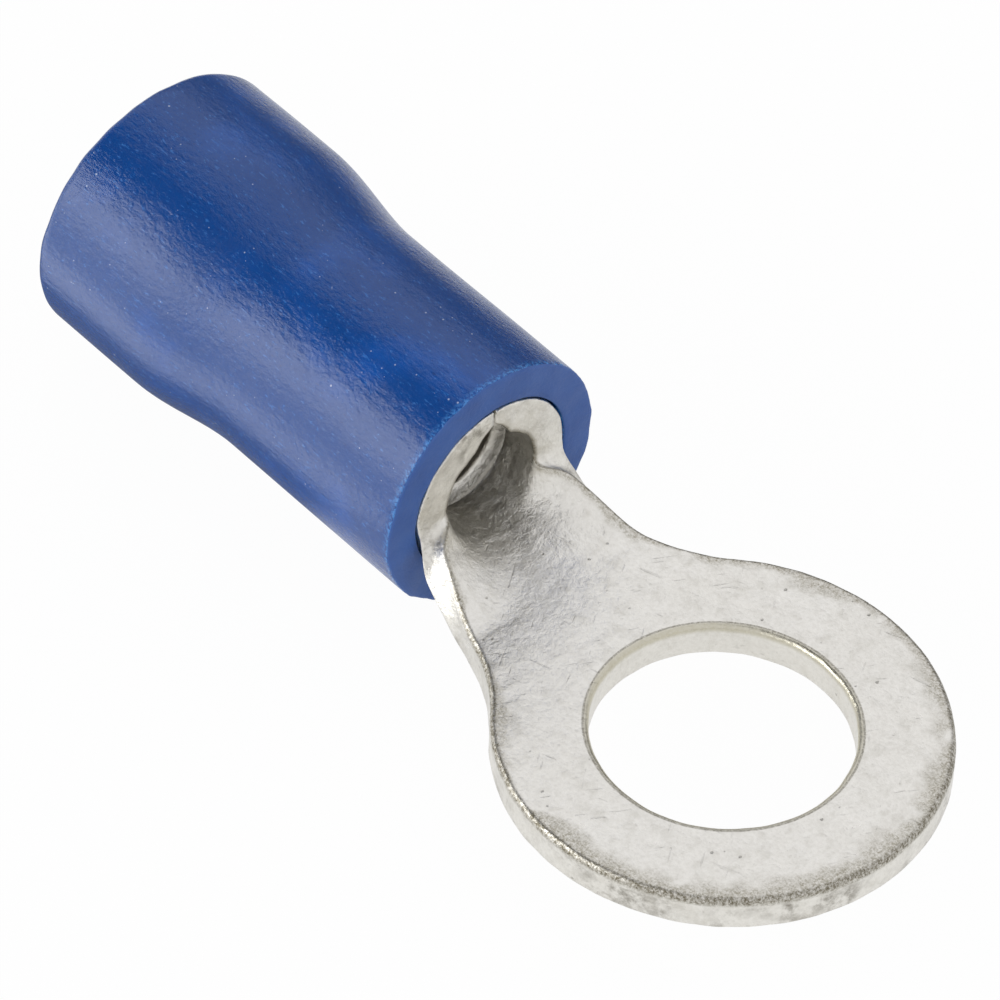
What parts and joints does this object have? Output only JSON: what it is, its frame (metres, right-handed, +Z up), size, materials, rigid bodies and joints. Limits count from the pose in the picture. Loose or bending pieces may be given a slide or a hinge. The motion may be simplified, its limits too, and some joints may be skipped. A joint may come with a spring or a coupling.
{
  "type": "ring terminal",
  "caption": "Insulated crimp ring terminal: flat punched ring tongue, scooped neck and rolled wire barrel of tinned copper in a moulded blue sleeve with a wide rear entry.",
  "frame": {"origin": "centre of the stud hole on the underside of the flat tongue", "axes": "+X from the wire barrel towards the tip of the ring, +Z up through the stud hole, away from the tongue's underside"},
  "size_m": [0.0227, 0.0094, 0.0064],
  "materials": {
    "tinned_copper": "electroplated matt tin over stamped copper, satin, pale warm grey, with faint scratches and grime along the edges",
    "blue_pvc": "moulded soft PVC, deep blue, satin outside with fine lengthwise streaks, duller on the cut front face"
  },
  "bodies": {
    "root": {"terminal": "tinned_copper", "sleeve": "blue_pvc"}
  },
  "joints": []
}
